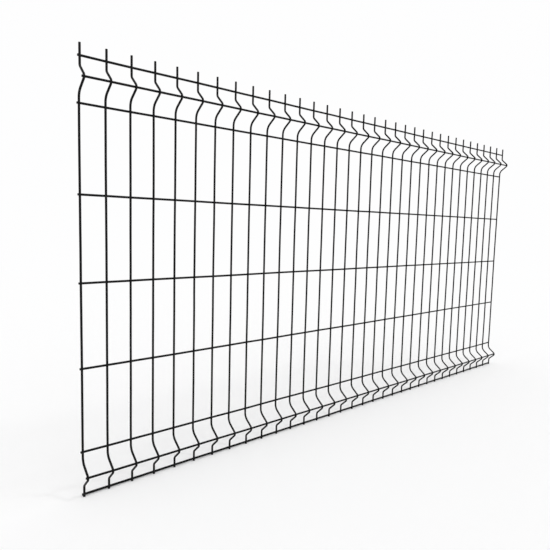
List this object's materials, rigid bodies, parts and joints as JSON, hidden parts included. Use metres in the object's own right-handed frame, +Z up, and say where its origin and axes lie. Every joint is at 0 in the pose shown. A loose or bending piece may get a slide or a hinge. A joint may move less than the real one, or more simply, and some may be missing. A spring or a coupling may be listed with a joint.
{
  "type": "welded mesh fence panel",
  "caption": "Black welded wire mesh fence panel with a V fold along its top and its bottom, upright wires in front of straight line wires, and a spiked top edge.",
  "frame": {"origin": "centre of the bottom end of the first upright, at the left end for someone who faces the side where the folds stand out", "axes": "+X along the panel, away from that end; +Y through the panel, from the side where the folds stand out to the side with the line wires; +Z up"},
  "size_m": [1.987, 0.0405, 1.03],
  "materials": {
    "black_coat": "satin powder coat"
  },
  "bodies": {
    "root": {"mesh_panel": "black_coat"}
  },
  "joints": []
}
